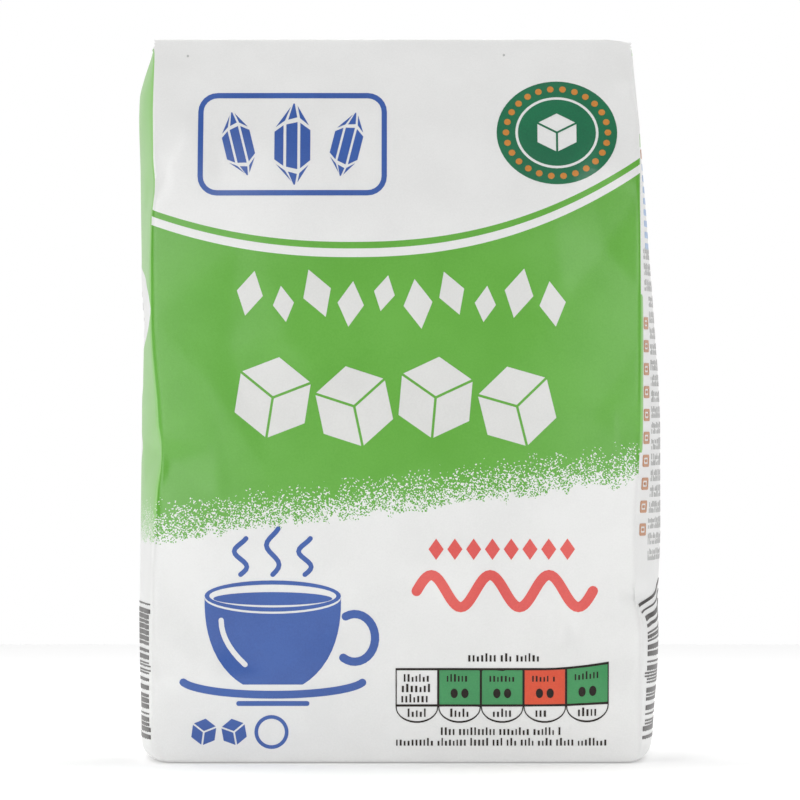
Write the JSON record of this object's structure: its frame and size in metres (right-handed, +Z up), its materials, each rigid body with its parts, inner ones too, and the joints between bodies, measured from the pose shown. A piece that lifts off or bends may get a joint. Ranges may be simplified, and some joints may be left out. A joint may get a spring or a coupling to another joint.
{
  "type": "sugar packet",
  "caption": "Upright block-bottom paper packet, shut at the top with a folded flap and tucked sides, full of granulated sugar, with a green printed band.",
  "frame": {"origin": "on the surface that the packet stands on, under the middle of its box", "axes": "+Z up; the printed front faces -Y; +X to the right as the front is seen"},
  "size_m": [0.11, 0.0772, 0.15],
  "materials": {
    "paper": "machine-coated white kraft paper with a soft sheen, printed with green, blue, red and dark fields",
    "print_green": "dark green printing ink on coated paper",
    "print_blue": "blue printing ink on coated paper",
    "print_red": "red and orange printing ink on coated paper",
    "print_white": "bare paper left white between inks",
    "print_dark": "dark brown-grey printing ink on coated paper"
  },
  "bodies": {
    "root": {"packet": "paper"}
  },
  "joints": []
}
